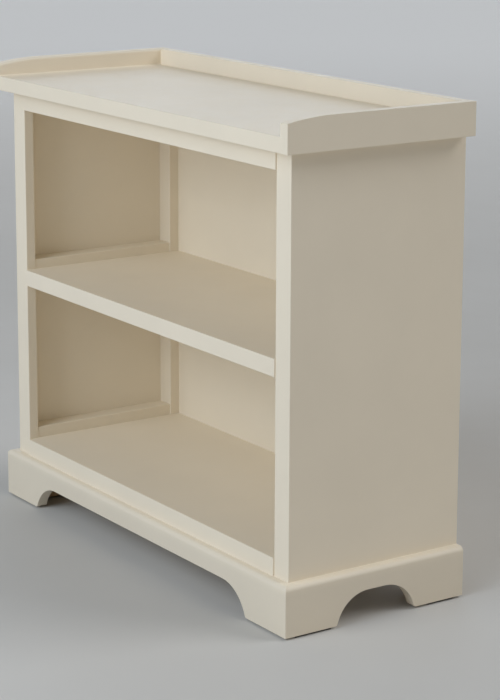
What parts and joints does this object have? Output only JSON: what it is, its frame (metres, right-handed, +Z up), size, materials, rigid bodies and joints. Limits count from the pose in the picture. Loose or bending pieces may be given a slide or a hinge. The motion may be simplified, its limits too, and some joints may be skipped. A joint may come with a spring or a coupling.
{
  "type": "low bookcase",
  "caption": "Low open bookcase in painted wood with a middle shelf, a low gallery round the top, framed sides and a plinth shaped into bracket feet",
  "frame": {"origin": "on the floor, under the middle of the overall width and depth", "axes": "+X to the right as seen from the front, +Y to the rear, +Z up"},
  "size_m": [0.754, 0.297, 0.67],
  "materials": {
    "painted_wood": "cream satin paint, sprayed",
    "painted_board": "cream satin paint on thin board",
    "bare_wood": "bare, planed",
    "dowel_wood": "bare beech",
    "screw_steel": "zinc plated",
    "foot_pad": "matt black"
  },
  "bodies": {
    "root": {"front_stile_left": "painted_wood", "front_stile_right": "painted_wood", "rear_stile_left": "painted_wood", "rear_stile_right": "painted_wood", "side_top_rail_left": "painted_wood", "side_top_rail_right": "painted_wood", "side_middle_rail_left": "painted_wood", "side_middle_rail_right": "painted_wood", "side_bottom_rail_left": "painted_wood", "side_bottom_rail_right": "painted_wood", "side_panel_left": "painted_board", "side_panel_right": "painted_board", "front_top_rail": "painted_wood", "rear_top_rail": "painted_wood", "middle_shelf": "painted_wood", "bottom_shelf": "painted_wood", "back_panel": "painted_board", "top_board": "painted_wood", "side_gallery_left": "painted_wood", "side_gallery_right": "painted_wood", "back_gallery": "painted_wood", "plinth_front": "painted_wood", "plinth_side_left": "painted_wood", "plinth_side_right": "painted_wood", "front_block_left": "bare_wood", "front_block_right": "bare_wood", "rear_block_left": "bare_wood", "rear_block_right": "bare_wood", "front_bearer": "bare_wood", "rear_bearer": "bare_wood", "side_bearer_left": "bare_wood", "side_bearer_right": "bare_wood", "front_foot_pad_left": "foot_pad", "front_foot_pad_right": "foot_pad", "rear_foot_pad_left": "foot_pad", "rear_foot_pad_right": "foot_pad", "frame_dowels": "dowel_wood", "shelf_dowels": "dowel_wood", "top_rail_dowels": "dowel_wood", "gallery_dowels": "dowel_wood", "top_screws": "screw_steel", "back_screws": "screw_steel", "plinth_screws": "screw_steel"}
  },
  "joints": []
}
